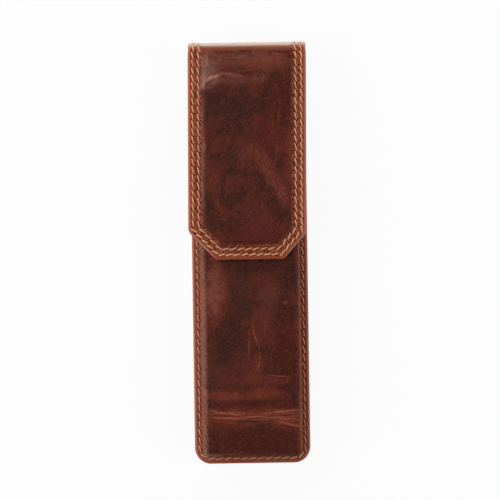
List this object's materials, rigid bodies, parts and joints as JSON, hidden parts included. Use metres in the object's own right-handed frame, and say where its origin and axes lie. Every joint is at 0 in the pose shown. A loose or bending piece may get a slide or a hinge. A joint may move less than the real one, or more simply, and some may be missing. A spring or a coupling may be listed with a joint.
{
  "type": "leather pen case",
  "caption": "Slim hard leather case for two pens: moulded front, stiffened back and a stitched flap that folds over the top and closes on a hidden magnet.",
  "frame": {"origin": "middle of the closed case's box, on the surface it lies on", "axes": "+X to the right as seen from the front, +Y towards the top fold, +Z out of the front"},
  "size_m": [0.0466, 0.166, 0.0227],
  "materials": {
    "pull_up_leather": "waxed pull-up leather, semi-gloss, burnished edges",
    "lining_suede": "matt suede split",
    "fibre_board": "pressed fibre board",
    "magnet_steel": "plated",
    "waxed_thread": "waxed twisted thread"
  },
  "bodies": {
    "case": {"back_leather": "pull_up_leather", "back_board": "fibre_board", "back_lining": "lining_suede", "front_leather": "pull_up_leather", "front_board": "fibre_board", "front_lining": "lining_suede", "front_magnet": "magnet_steel", "pen_divider": "lining_suede", "body_seam_thread": "waxed_thread"},
    "spine": {"spine_leather": "pull_up_leather", "spine_board": "fibre_board", "spine_lining": "lining_suede", "spine_left_outer_thread": "waxed_thread", "spine_left_inner_thread": "waxed_thread", "spine_right_outer_thread": "waxed_thread", "spine_right_inner_thread": "waxed_thread"},
    "flap": {"flap_leather": "pull_up_leather", "flap_board": "fibre_board", "flap_lining": "lining_suede", "flap_magnet": "magnet_steel", "flap_outer_thread": "waxed_thread", "flap_inner_thread": "waxed_thread"}
  },
  "joints": [
    {"name": "back_fold", "type": "hinge", "parent": "case", "child": "spine", "pos_m": [0, 0.08115, 0.00088], "axis": [-1, 0, 0], "range_deg": [0, 85]},
    {"name": "front_fold", "type": "hinge", "parent": "spine", "child": "flap", "pos_m": [0, 0.08115, 0.02072], "axis": [-1, 0, 0], "range_deg": [0, 90]}
  ]
}
